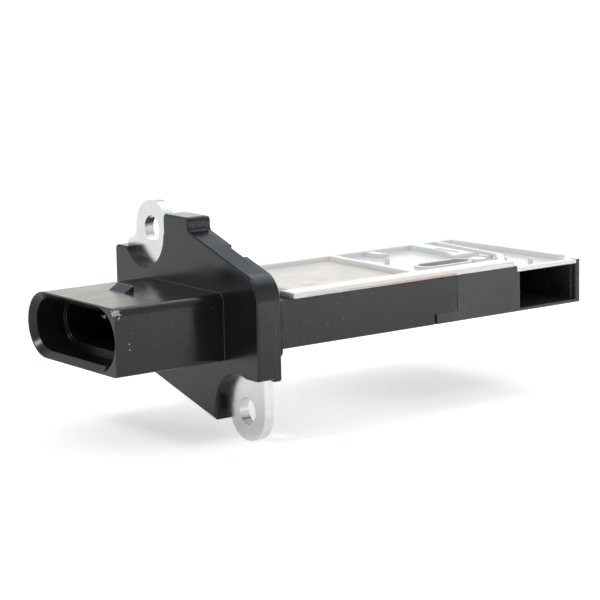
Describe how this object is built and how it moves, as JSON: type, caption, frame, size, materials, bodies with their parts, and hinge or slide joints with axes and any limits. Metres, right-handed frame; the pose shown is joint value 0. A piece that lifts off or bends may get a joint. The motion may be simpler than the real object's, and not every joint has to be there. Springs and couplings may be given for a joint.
{
  "type": "mass airflow sensor",
  "caption": "Plug-in mass airflow sensor: shrouded connector, screw flange with opposed metal ears, and a flat probe with a side air inlet and a light relief cover.",
  "frame": {"origin": "midway between the two screw holes, on the rear face of the ears that seats on the duct", "axes": "+X from the connector along the probe to its tip, +Y across the probe, away from the air inlet, +Z out of the side with the light cover"},
  "size_m": [0.1024, 0.0471, 0.0412],
  "materials": {
    "housing": "satin moulded black",
    "plate": "tumbled, bright",
    "seal": "matt",
    "tip": "satin moulded black",
    "cover": "gloss off-white",
    "lid": "satin cream",
    "sealant": "cured amber adhesive",
    "base": "rolled",
    "pins": "tin plated",
    "board": "matt",
    "chip": "matt",
    "capacitor": "satin",
    "gel": "clear soft silicone",
    "carrier": "satin",
    "silicon": "polished",
    "thermistor": "gloss bead"
  },
  "bodies": {
    "root": {"sensor_housing": "housing", "mounting_plate": "plate", "root_seal": "seal", "bypass_body": "tip", "bypass_cover": "cover", "circuit_lid": "lid", "cover_sealant": "sealant", "base_plate": "base", "terminal_1": "pins", "terminal_2": "pins", "terminal_3": "pins", "terminal_4": "pins", "terminal_5": "pins", "circuit_board": "board", "control_chip": "chip", "trim_chip": "chip", "capacitor_1": "capacitor", "capacitor_2": "capacitor", "capacitor_3": "capacitor", "protective_gel": "gel", "sensor_carrier": "carrier", "sensor_element": "silicon", "intake_thermistor": "thermistor"}
  },
  "joints": []
}
